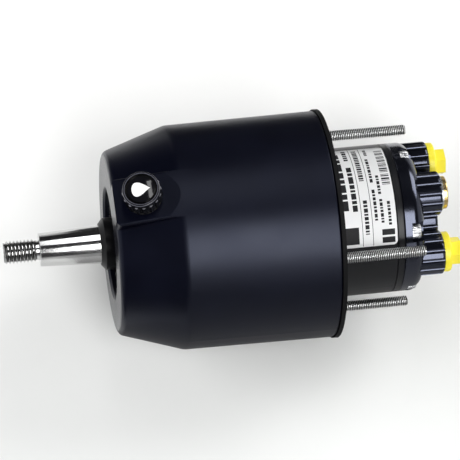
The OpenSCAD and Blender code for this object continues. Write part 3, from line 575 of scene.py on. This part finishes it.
def weld(bm):
    """Joins points that lie together, fills open ends and turns all faces outwards."""
    bmesh.ops.remove_doubles(bm, verts=bm.verts, dist=0.001 * MM)
    loose = [v for v in bm.verts if not v.link_faces]
    bmesh.ops.delete(bm, geom=loose, context="VERTS")
    bmesh.ops.holes_fill(bm, edges=bm.edges, sides=0)
    bmesh.ops.recalc_face_normals(bm, faces=bm.faces)


def mesh_of(name, bm):
    """A mesh of what bm holds, which is spent."""
    mesh = bpy.data.meshes.new(name)
    bm.to_mesh(mesh)
    bm.free()
    return mesh


def put_in_scene(name, data):
    """An object in the scene that shows a mesh, a light or a camera."""
    made = bpy.data.objects.new(name, data)
    bpy.context.scene.collection.objects.link(made)
    return made


def piece(name, bm, finish, body, sharp=SHARP_EDGE, stands_for=()):
    """Makes a mesh object from bm, finishes it and lets it ride on a body of the frame."""
    mesh = mesh_of(name, bm)
    mesh.materials.append(finish)
    mesh.shade_smooth()
    mesh.set_sharp_from_angle(angle=math.radians(sharp))
    made = put_in_scene(name, mesh)
    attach(made, body)
    if stands_for:
        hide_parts(*stands_for)
    return made


def cut(target, cutters):
    """Takes the cutters' shapes out of a piece and removes the cutters."""
    for cutter in cutters:
        modifier = target.modifiers.new("cut", "BOOLEAN")
        modifier.object = cutter
        modifier.solver = "EXACT"
    bpy.context.view_layer.update()
    graph = bpy.context.evaluated_depsgraph_get()
    result = bpy.data.meshes.new_from_object(target.evaluated_get(graph))
    target.modifiers.clear()
    old, target.data = target.data, result
    result.name = target.name
    bpy.data.meshes.remove(old)
    for cutter in cutters:
        bpy.data.objects.remove(cutter)
    result.set_sharp_from_angle(angle=math.radians(SHARP_EDGE))


def around(clock, radius):
    """Moves a piece built on the shaft's axis to a clock angle, at a distance from the axis."""
    return Matrix.Rotation(-math.radians(clock), 4, "Z") @ Matrix.Translation((0, radius, 0))


def merge(bm, other, matrix):
    """Adds another mesh in the making to bm, moved by matrix."""
    other.transform(matrix)
    scratch = mesh_of("scratch", other)
    bm.from_mesh(scratch)
    bpy.data.meshes.remove(scratch)


# Wheel shaft: turned to its stations, with the wheel nut's thread cut on the end

SHAFT_SIDES = 96
SHAFT_EDGE = 0.25 * MM
WHEEL_PITCH = 25.4 * MM / 13

shaft_low, shaft_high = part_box("shaft")
tip = -shaft_low.y
nose = -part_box("seal_cover")[0].y
cover_rear = -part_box("seal_cover")[1].y
bearing_rear = -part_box("bearing_inner_ring")[1].y
port_face = -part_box("port_plate")[0].y
spigot_end = -shaft_high.y
pin_low, pin_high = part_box("drive_pin")
pin_z = -(pin_low.y + pin_high.y) / 2
pin_radius = (pin_high.y - pin_low.y) / 2

spigot_r, rotor_seat_r, middle_r = 6.0 * MM, 7.5 * MM, 10.0 * MM
collar_r, bearing_seat_r, land_r = shaft_high.x, 12.5 * MM, 10.45 * MM
taper_len, taper_end_r = 33.0 * MM, 9.075 * MM
relief_r, relief_len = 5.45 * MM, 1.6 * MM
wheel_thread_r = 6.35 * MM
collar_len, rotor_step, swash_room = 5.0 * MM, 1.04 * MM, 6.0 * MM
rotor_seat_rear = port_face + rotor_step
middle_step = -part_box("swash_plate")[0].y + swash_room
collar_rear = bearing_rear - collar_len
taper_end = nose + taper_len
thread_start = taper_end + relief_len
wheel_root_r = wheel_thread_r - THREAD_DEPTH * WHEEL_PITCH

shaft_stations = (
    (spigot_r, spigot_end),
    (spigot_r, rotor_seat_rear),
    (rotor_seat_r, rotor_seat_rear),
    (rotor_seat_r, middle_step),
    (middle_r, middle_step),
    (middle_r, collar_rear),
    (collar_r, collar_rear),
    (collar_r, bearing_rear),
    (bearing_seat_r, bearing_rear),
    (bearing_seat_r, cover_rear),
    (land_r, cover_rear),
    (land_r, nose),
    (taper_end_r + 0.1 * SHAFT_EDGE, taper_end - SHAFT_EDGE),
    (taper_end_r - SHAFT_EDGE, taper_end),
    (relief_r, taper_end),
    (relief_r, thread_start),
    (wheel_root_r, thread_start),
)
bm = bmesh.new()
loft(bm, rings_at(shaft_stations, SHAFT_SIDES), close=False)
thread(bm, wheel_thread_r, wheel_root_r, WHEEL_PITCH, thread_start, tip, SHAFT_SIDES)
weld(bm)
bm.transform(ALONG_SHAFT)
turned_shaft = piece(
    "turned_shaft", bm, shaft_steel, "shaft", stands_for=("shaft",)
)

KEY_WIDTH, KEY_DEPTH = 4.8 * MM, 2.4 * MM
KEY_FROM, KEY_TO = 0.3, 0.8
PIN_SIDES = 48

key_start, key_end = nose + KEY_FROM * taper_len, nose + KEY_TO * taper_len
key_size = Vector((KEY_WIDTH, 2 * KEY_DEPTH, key_end - key_start))
key_at = Vector((0, -land_r, (key_start + key_end) / 2))
bm = bmesh.new()
bmesh.ops.create_cube(bm, size=1)
bm.transform(ALONG_SHAFT @ Matrix.Translation(key_at) @ Matrix.Diagonal((*key_size, 1)))
keyway = put_in_scene("keyway", mesh_of("keyway", bm))

pin_across = Matrix.Translation((0, 0, pin_z)) @ Matrix.Rotation(QUARTER_TURN, 4, "Y")
bm = bmesh.new()
loft(bm, [ring(pin_radius, side * 2 * rotor_seat_r, PIN_SIDES) for side in (-1, 1)])
bm.transform(ALONG_SHAFT @ pin_across)
bmesh.ops.recalc_face_normals(bm, faces=bm.faces)
pin_hole = put_in_scene("pin_hole", mesh_of("pin_hole", bm))
cut(turned_shaft, [keyway, pin_hole])


# Mounting studs: threaded rods with a plain tapped end in the flange

STUD_SIDES = 36
STUD_PITCH = 1.0 * MM
STUD_CLOCK = (45, 135, 225, 315)

stud_low, stud_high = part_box("mounting_studs")
gasket_front = -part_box("mounting_gasket")[0].y
stud_rear, stud_front = -stud_high.y, -stud_low.y
stud_r, stud_tap_r = 3.0 * MM, 2.6 * MM
stud_root_r = stud_r - THREAD_DEPTH * STUD_PITCH
stud_circle = (stud_high.x - stud_r) * math.sqrt(2)
tapped_end = ((stud_root_r, gasket_front), (stud_tap_r, gasket_front), (stud_tap_r, stud_front))
bm = bmesh.new()
for clock in STUD_CLOCK:
    rod = bmesh.new()
    thread(rod, stud_r, stud_root_r, STUD_PITCH, stud_rear, gasket_front, STUD_SIDES)
    loft(rod, rings_at(tapped_end, STUD_SIDES), close=False)
    weld(rod)
    merge(bm, rod, ALONG_SHAFT @ around(clock, stud_circle))
piece("threaded_studs", bm, stud_zinc, "housing", 40, ("mounting_studs",))


# Manifold screws: knurled heads with a hexagon socket

SCREW_CLOCK = (36, 100, 180, 260, 324)
KNURLS = 30
KNURL_FULLNESS = 0.7
SCREW_SIDES = 6 * KNURLS
HEX_SIDE = math.radians(60)

screw_low, screw_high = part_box("manifold_screws")
head_r, head_h, shank_r = 4.1 * MM, 5.0 * MM, 2.5 * MM
head_edge, knurl_depth = 0.6 * MM, 0.22 * MM
socket_half, socket_depth, socket_edge = 2.0 * MM, 3.0 * MM, 0.2 * MM
head_rear, screw_front = -screw_high.y, -screw_low.y
head_seat = head_rear + head_h
screw_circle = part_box("port_plate")[1].x - head_r


def knurled(angle):
    return head_r - knurl_depth * (0.5 - 0.5 * math.cos(KNURLS * angle)) ** KNURL_FULLNESS


def hexagon(angle):
    return socket_half / math.cos(angle % HEX_SIDE - HEX_SIDE / 2)


def hexagon_mouth(angle):
    return hexagon(angle) + socket_edge


screw_stations = (
    (hexagon, head_rear + socket_depth),
    (hexagon, head_rear + socket_edge),
    (hexagon_mouth, head_rear),
    (head_r - head_edge, head_rear),
    (head_r - knurl_depth, head_rear + 0.7 * head_edge),
    (knurled, head_rear + head_edge),
    (knurled, head_seat - 0.5 * head_edge),
    (head_r - knurl_depth, head_seat),
    (shank_r, head_seat),
    (shank_r, screw_front),
)
bm = bmesh.new()
for clock in SCREW_CLOCK:
    screw = bmesh.new()
    loft(screw, rings_at(screw_stations, SCREW_SIDES))
    weld(screw)
    merge(bm, screw, ALONG_SHAFT @ around(clock, screw_circle))
piece("knurled_screws", bm, screw_steel, "housing", 30, ("manifold_screws",))


# Check springs: round wire with closed ends, one on each side

SPRING_WIRE, SPRING_TURNS = 0.6 * MM, 5
TURN_STEPS, WIRE_SIDES = 36, 12
CLOSED_PITCH = 1.06 * SPRING_WIRE


def wound_wire(bm, coil_r, length):
    """A round wire wound upwards from z = 0: the first and last turn lie closed."""
    free = length - SPRING_WIRE
    open_pitch = (free - 2 * CLOSED_PITCH) / (SPRING_TURNS - 2)
    rows = []
    for i in range(SPRING_TURNS * TURN_STEPS + 1):
        turn = i / TURN_STEPS
        angle = 2 * math.pi * turn
        open_turns = min(max(turn - 1, 0), SPRING_TURNS - 2)
        height = SPRING_WIRE / 2 + CLOSED_PITCH * (turn - open_turns) + open_pitch * open_turns
        row = []
        for k in range(WIRE_SIDES):
            side = 2 * math.pi * k / WIRE_SIDES
            r = coil_r + SPRING_WIRE / 2 * math.cos(side)
            z = height + SPRING_WIRE / 2 * math.sin(side)
            row.append((r * math.cos(angle), r * math.sin(angle), z))
        rows.append(row)
    loft(bm, rows)
    bmesh.ops.recalc_face_normals(bm, faces=bm.faces)


for side, outwards in (("left", -1), ("right", 1)):
    node_name, joint_name = "check_spring_" + side, f"check_{side}_open"
    low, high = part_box(node_name)
    inner, outer = (high.x, low.x) if outwards < 0 else (low.x, high.x)
    length = high.x - low.x
    centre = (low + high) / 2
    lift = joint(joint_name)["range_m"][1]
    lie_across = Matrix.Rotation(outwards * QUARTER_TURN, 4, "Y")
    bm = bmesh.new()
    wound_wire(bm, (high.z - low.z - SPRING_WIRE) / 2, length)
    bm.transform(Matrix.Translation((inner, centre.y, centre.z)) @ lie_across)
    wound_name = "wound_" + node_name
    wound = piece(wound_name, bm, spring_wire, "housing", 60, (node_name,))
    1 - lift / length
    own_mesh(wound)


# Label on the barrel, with ruled lines and blocks in place of words

LABEL_THICK, INK_THICK = 0.12 * MM, 0.02 * MM
LABEL_CORNER = 2.4 * MM
LABEL_CLOCK = (-48.0, 43.5)
LABEL_SPAN = (-31.9 * MM, -1.5 * MM)
PATCH_COLUMN = 0.8 * MM
CORNER_ANGLES = range(0, 91, 15)

barrel_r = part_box("port_plate")[1].x
label_outer = barrel_r + LABEL_THICK


def barrel_patch(bm, inner, outer, clock, span, corner=0.0):
    """A thin plate bent round the barrel between two clock angles and two stations."""
    reach = outer * math.radians(clock[1] - clock[0])
    turn = [0.0]
    if corner:
        turn = [corner * (1 - math.cos(math.radians(angle))) for angle in CORNER_ANGLES]
    middle = max(1, int(reach / PATCH_COLUMN))
    inside = [turn[-1] + (reach - 2 * turn[-1]) * k / middle for k in range(1, middle)]
    columns = []
    for length in turn + inside + [reach - t for t in reversed(turn)]:
        edge = min(length, reach - length)
        inset = 0.0
        if edge < corner:
            inset = corner - math.sqrt(max(corner**2 - (corner - edge) ** 2, 0))
        low, high = span[0] + inset, span[1] - inset
        angle = math.radians(clock[0]) + length / outer
        column = []
        for r, z in ((outer, low), (outer, high), (inner, high), (inner, low)):
            column.append(bm.verts.new((r * math.sin(angle), r * math.cos(angle), z)))
        columns.append(column)
    for first, second in zip(columns, columns[1:]):
        for k in range(4):
            m = (k + 1) % 4
            bm.faces.new((first[k], first[m], second[m], second[k]))
    bm.faces.new(columns[0])
    bm.faces.new(columns[-1])


bm = bmesh.new()
barrel_patch(bm, barrel_r - LABEL_THICK, label_outer, LABEL_CLOCK, LABEL_SPAN, LABEL_CORNER)
weld(bm)
bm.transform(ALONG_SHAFT)
piece("label_plate", bm, label_stock, "housing")

# Print on the label: clock angles in degrees, and stations along the barrel in mm
RULES, RULE_HALF, RULE_MARGIN = (-13.0, -18.6), 0.14, 0.6
SHORTEST_DASH = 0.5
# Rows of dashes: from and to, stations, lengths of the dashes in turn, gap between them
DASH_ROWS = (
    (-40, 15, (-6.6, -2.6), (6.5, 4.2, 8.0, 5.5, 3.4), 1.3),
    (-45, -30, (-11.2, -8.9), (2.2, 3.4, 1.6), 0.9),
    (-22, 16, (-11.4, -8.7), (4.8, 2.6, 6.2, 3.4, 1.8), 1.0),
    (-44, -8, (-17.0, -14.4), (1.5, 1.1, 1.9), 0.7),
    (8, 34, (-16.8, -14.6), (2.6, 1.8, 3.2, 1.4), 0.9),
    (-30, -6, (-21.8, -20.2), (2.0, 3.2, 1.4), 0.8),
    (0, 24, (-21.8, -20.2), (3.0, 1.6, 2.4), 0.8),
    (-12, 4, (-25.2, -23.6), (2.2, 1.4, 2.8), 0.8),
    (8, 26, (-25.2, -23.6), (1.8, 2.8, 1.2), 0.8),
    (10, 28, (-29.2, -27.6), (2.4, 1.4, 1.9), 0.8),
    (-44, -34, (-22.4, -20.8), (2.2, 1.2), 0.8),
)
BLOCKS = (((28, 41), (-11.0, -3.6)), ((31, 35.5), (-30.6, -23.6)), ((37, 41.5), (-30.6, -23.6)))
# Bars, in units of width, and the share of each unit that ink fills
BAR_WIDTHS = (2, 1, 1, 3, 1, 2, 2, 1, 3, 1, 1, 2, 1, 3, 2, 1, 1, 2, 3, 1, 2, 1)
BAR_GAPS = (1, 2, 1, 1, 3, 1, 2, 1, 2, 1, 1)
BAR_START, BAR_UNIT, BAR_INK, BAR_SPAN = -41.0, 0.62, 0.8, (-31.0, -26.6)

ink = bmesh.new()


def print_block(clock, span):
    stations = (span[0] * MM, span[1] * MM)
    barrel_patch(ink, label_outer - LABEL_THICK / 2, label_outer + INK_THICK, clock, stations)


def print_row(start, stop, span, lengths, gap):
    """A row of dashes round the barrel, like a line of print seen from afar."""
    at, k = start, 0
    while at + SHORTEST_DASH < stop:
        length = min(lengths[k % len(lengths)], stop - at)
        print_block((at, at + length), span)
        at += length + gap
        k += 1


for rule in RULES:
    rule_clock = (LABEL_CLOCK[0] + RULE_MARGIN, LABEL_CLOCK[1] - RULE_MARGIN)
    print_block(rule_clock, (rule - RULE_HALF, rule + RULE_HALF))
for row in DASH_ROWS:
    print_row(*row)
for clock, span in BLOCKS:
    print_block(clock, span)
bar_at = BAR_START
for k, width in enumerate(BAR_WIDTHS):
    print_block((bar_at, bar_at + width * BAR_UNIT * BAR_INK), BAR_SPAN)
    bar_at += (width * BAR_INK + BAR_GAPS[k % len(BAR_GAPS)]) * BAR_UNIT
weld(ink)
ink.transform(ALONG_SHAFT)
piece("label_print", ink, label_ink, "housing")


# Filler cap: an oil drop on the domed insert

DROP_WIDTH, DROP_HALF = 5.8 * MM, 5.0 * MM
DROP_POINTED = 1.6
DROP_SIDES = 48
MARK_LIFT = 0.05 * MM
AT_BADGE_EDGE = 0.999

badge_points = rise_and_reach("cap_badge")
badge_r = max(reach for rise, reach in badge_points)
badge_rise = max(rise for rise, reach in badge_points)
edge_rise = max(rise for rise, reach in badge_points if reach > AT_BADGE_EDGE * badge_r)
dome = badge_rise - edge_rise
dome_r = (badge_r**2 + dome**2) / (2 * dome)
badge_top = cap_centre + badge_rise * cap_axis
to_rear = Vector((0, 1, 0))
to_rear = (to_rear - cap_axis * to_rear.dot(cap_axis)).normalized()
aside = to_rear.cross(cap_axis)


def drop_point(share, scale, lift):
    """A point of the drop's outline, drawn in to a scale and laid on the dome."""
    t = 2 * math.pi * share
    u = scale * DROP_WIDTH * math.sin(t) * math.sin(t / 2) ** DROP_POINTED
    w = scale * DROP_HALF * math.cos(t)
    sag = dome_r - math.sqrt(dome_r**2 - u * u - w * w)
    return badge_top + aside * u + to_rear * w + cap_axis * (lift - sag)


bm = bmesh.new()
drop_rings = []
for scale, lift in ((0.04, 1), (0.4, 1), (0.75, 1), (1.0, 1), (1.0, -1)):
    shares = (i / DROP_SIDES for i in range(DROP_SIDES))
    drop_rings.append([drop_point(share, scale, lift * MARK_LIFT) for share in shares])
loft(bm, drop_rings)
weld(bm)
piece("oil_drop_mark", bm, mark_white, "filler_cap", sharp=60)


# Floor, light and camera

FLOOR_R, FLOOR_SIDES, FLOOR_DROP = 2.0, 96, 0.2 * MM
FLOOR_FADE = (1.0, 1.9)
# The paper's colour, and painted shade: the floor darkens towards starboard as if less light fell
# there
PORT_PAPER, STARBOARD_PAINTED_SHADE = (0.87, 0.87, 0.86), (0.73, 0.74, 0.73)
PAINTED_SHADE_SPAN = (-0.16, 0.12)


def stage_floor():
    """A pale round floor, fading into the pale surroundings far off, with painted shade to
    starboard.
    """
    bm = bmesh.new()
    bm.faces.new([bm.verts.new(point) for point in ring(FLOOR_R, 0, FLOOR_SIDES)])
    mesh = mesh_of("floor", bm)
    floor = put_in_scene("floor", mesh)
    floor.location = (0, 0, cad_box[0].z - FLOOR_DROP)
    finish = Finish("floor_paper")
    paper = finish.noise(60, 3)
    distance = finish.vector("LENGTH", finish.place(), output="Value")
    starboard = finish.part_of(finish.place(), "X").between(*PAINTED_SHADE_SPAN)
    finish.shade(
        # painted shade: darker towards starboard
        Base_Color=finish.blend(0.9 * starboard + 0.1 * paper, PORT_PAPER, STARBOARD_PAINTED_SHADE),
        Roughness=0.7 + paper.swing(0.1),
        Alpha=1 - distance.between(*FLOOR_FADE),
    )
    mesh.materials.append(finish.material)


def facing(right, up, back, at):
    """Stands a light or a camera at a point; both look away from back."""
    return Matrix.Translation(at) @ Matrix((right, up, back)).transposed().to_4x4()


def softbox(name, centre, aim, width, length, radiance, mirrored=True):
    """A soft light at centre that faces the point aim; its length lies along the shaft.

    A light that is not mirrored only fills: gloss does not show it.
    """
    light = bpy.data.lights.new(name, "AREA")
    light.shape = "RECTANGLE"
    light.size, light.size_y = width, length
    light.energy = radiance * math.pi * width * length
    made = put_in_scene(name, light)
    back = (Vector(centre) - Vector(aim)).normalized()
    side = Vector((0, 1, 0)).cross(back).normalized()
    made.matrix_world = facing(side, back.cross(side), back, centre)
    made.visible_camera = False
    made.visible_glossy = mirrored


FLAG_LIFT = 1.0 * MM


def black_flag(name, near, far, height, front, rear, felt):
    """A dark card on the floor that turns up at its far edge and keeps one side of the paint dark.

    Only reflections show it: it casts no shadow and the camera looks through it.
    """
    level = cad_box[0].z + FLAG_LIFT
    bm = bmesh.new()
    rows = []
    for x, z in ((near, level), (far, level), (far, level + height)):
        rows.append([bm.verts.new((x, y, z)) for y in (front, rear)])
    for first, second in zip(rows, rows[1:]):
        bm.faces.new((first[0], first[1], second[1], second[0]))
    mesh = mesh_of(name, bm)
    flag = put_in_scene(name, mesh)
    flag.visible_camera = flag.visible_diffuse = flag.visible_shadow = False
    finish = Finish(name + "_felt")
    nap = finish.noise(300, 3)
    finish.shade(
        Base_Color=finish.blend(nap, (0.8 * felt,) * 3, (1.2 * felt,) * 3),
        Roughness=0.9,
    )
    mesh.materials.append(finish.material)


PALE_SKY, DIM_SKY = (0.80, 0.80, 0.80), (0.018, 0.018, 0.020)


def studio_world():
    """Pale round the horizon, below it and before and behind the helm; dim overhead."""
    world = bpy.data.worlds.new("studio")
    bpy.context.scene.world = world
    world.use_nodes = True
    sheet = Sheet(world.node_tree)
    direction = sheet.node("ShaderNodeTexCoord", output="Generated")
    up, along = sheet.part_of(direction, "Z"), sheet.part_of(direction, "Y")
    dim = up.between(0.05, 0.30) * (1 - (along * along).between(0.36, 0.70))
    colour = sheet.blend(dim, PALE_SKY, DIM_SKY)
    glow = sheet.node("ShaderNodeBackground", None, {"Color": colour, "Strength": 1.0})
    output = sheet.tree.nodes.new("ShaderNodeOutputWorld")
    sheet.tree.links.new(glow.socket, output.inputs["Surface"])


CAMERA_AZIMUTH, CAMERA_ELEVATION, CAMERA_ROLL, CAMERA_FIELD = 71.36, 66.24, 11.87, 9.4976
CAMERA_TARGET, CAMERA_DISTANCE = Vector((-0.0001, -0.0537, 0.0030)), 1.517


def photo_camera():
    """The camera of the photograph: a long lens, above the helm's starboard side."""
    azimuth, elevation = math.radians(CAMERA_AZIMUTH), math.radians(CAMERA_ELEVATION)
    roll = math.radians(CAMERA_ROLL)
    back = Vector((
        math.cos(elevation) * math.sin(azimuth),
        -math.cos(elevation) * math.cos(azimuth),
        math.sin(elevation),
    ))
    level = Vector((0, 0, 1)).cross(back).normalized()
    above = back.cross(level)
    right = level * math.cos(roll) + above * math.sin(roll)
    up = above * math.cos(roll) - level * math.sin(roll)
    camera = bpy.data.cameras.new("photo_camera")
    camera.sensor_fit = "HORIZONTAL"
    camera.angle = math.radians(CAMERA_FIELD)
    made = put_in_scene("photo_camera", camera)
    made.matrix_world = facing(right, up, back, CAMERA_TARGET + CAMERA_DISTANCE * back)
    bpy.context.scene.camera = made


# Soft lights that gloss shows: where each stands, what it faces, width, length, radiance
SOFTBOXES = {
    "softbox_body": ((1.058, 0.265, 1.456), (0, 0.265, 0), 1.27, 0.47, 9.0),
    "softbox_side": ((1.644, 0.265, 0.732), (0, 0.265, 0), 0.56, 0.47, 1.8),
    "softbox_taper": ((1.020, -0.045, 1.483), (0, -0.045, 0), 0.80, 0.15, 8.3),
    "softbox_shaft": ((-0.624, -0.06, 1.688), (0, -0.06, 0), 1.04, 0.20, 4.6),
    "softbox_key": ((-1.2, 1.7, 1.7), (0, 0, 0), 1.5, 1.5, 5.9),
}
# Dark cards: near and far edge across the shaft, height, front and rear edge, felt's albedo
FLAGS = {
    "port_flag": (-0.19, -0.60, 0.50, -0.125, 0.18, 0.013),
    "port_bow_flag": (-0.19, -0.60, 0.50, -0.7, -0.165, 0.013),
    # Under the helm this card stands in for the floor's shadow: a painted shadow that only
    # reflections show
    "starboard_flag": (0.03, 0.60, 0.22, -0.136, 0.7, 0.30),
    "bow_flag": (0.10, 0.60, 0.40, -0.7, -0.17, 0.02),
}

stage_floor()
studio_world()
for name, values in SOFTBOXES.items():
    softbox(name, *values)
softbox("softbox_front", (0.0, -1.9, 1.0), (0, 0, 0), 1.6, 0.8, 9.5, mirrored=False)
for name, values in FLAGS.items():
    black_flag(name, *values)
photo_camera()
bpy.context.scene.view_settings.view_transform = "Standard"
